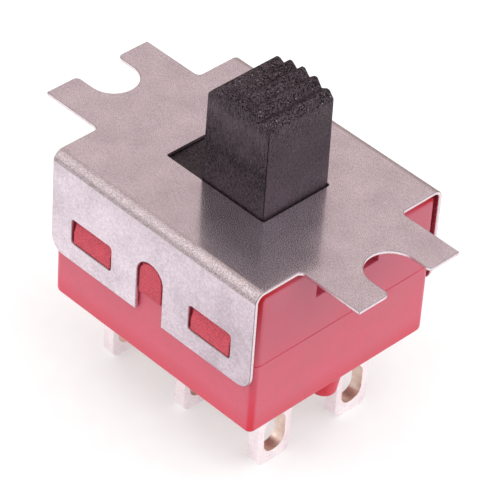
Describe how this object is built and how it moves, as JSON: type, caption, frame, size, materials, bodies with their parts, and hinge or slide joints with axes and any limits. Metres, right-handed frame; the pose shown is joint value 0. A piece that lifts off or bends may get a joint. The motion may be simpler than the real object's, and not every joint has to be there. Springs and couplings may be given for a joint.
{
  "type": "slide switch",
  "caption": "Miniature slide switch: folded steel bracket with slotted ears over a red moulded base, black ridged sliding knob on top, solder lugs below.",
  "frame": {"origin": "middle of the bracket's panel face, on the slider's centre line", "axes": "+Z out through the panel along the knob, +X along the slide and the ears, +Y across the two poles"},
  "size_m": [0.0192, 0.011, 0.0171],
  "materials": {
    "bracket_steel": "satin stainless sheet",
    "base_plastic": "red glass-filled moulding",
    "actuator_plastic": "black fine-grained moulding",
    "plunger_plastic": "natural nylon",
    "spring_steel": "drawn spring wire",
    "contact_silver": "silver alloy",
    "terminal_plated": "silver-plated copper alloy",
    "seal_resin": "cured casting resin"
  },
  "bodies": {
    "housing": {"bracket": "bracket_steel", "base": "base_plastic", "common_terminal_front": "terminal_plated", "common_terminal_back": "terminal_plated", "end_terminal_front_left": "terminal_plated", "end_terminal_front_right": "terminal_plated", "end_terminal_back_left": "terminal_plated", "end_terminal_back_right": "terminal_plated", "end_contact_front_left": "contact_silver", "end_contact_front_right": "contact_silver", "end_contact_back_left": "contact_silver", "end_contact_back_right": "contact_silver", "seal_front": "seal_resin", "seal_back": "seal_resin"},
    "slider": {"actuator": "actuator_plastic", "plunger_front": "plunger_plastic", "plunger_back": "plunger_plastic", "spring_front": "spring_steel", "spring_back": "spring_steel"},
    "rocker_front": {"rocker_front": "contact_silver"},
    "rocker_back": {"rocker_back": "contact_silver"}
  },
  "joints": [
    {"name": "actuator_slide", "type": "slide", "parent": "housing", "child": "slider", "axis": [1, 0, 0], "range_m": [-0.00205, 0]},
    {"name": "rocker_front_tilt", "type": "hinge", "parent": "housing", "child": "rocker_front", "pos_m": [0, -0.0024, -0.00445], "axis": [0, 1, 0], "range_deg": [-14, 0]},
    {"name": "rocker_back_tilt", "type": "hinge", "parent": "housing", "child": "rocker_back", "pos_m": [0, 0.0024, -0.00445], "axis": [0, 1, 0], "range_deg": [-14, 0]}
  ],
  "couplings": [
    {"joint": "rocker_front_tilt", "follows": "actuator_slide", "rad_per_m": 119.19},
    {"joint": "rocker_back_tilt", "follows": "actuator_slide", "rad_per_m": 119.19}
  ]
}
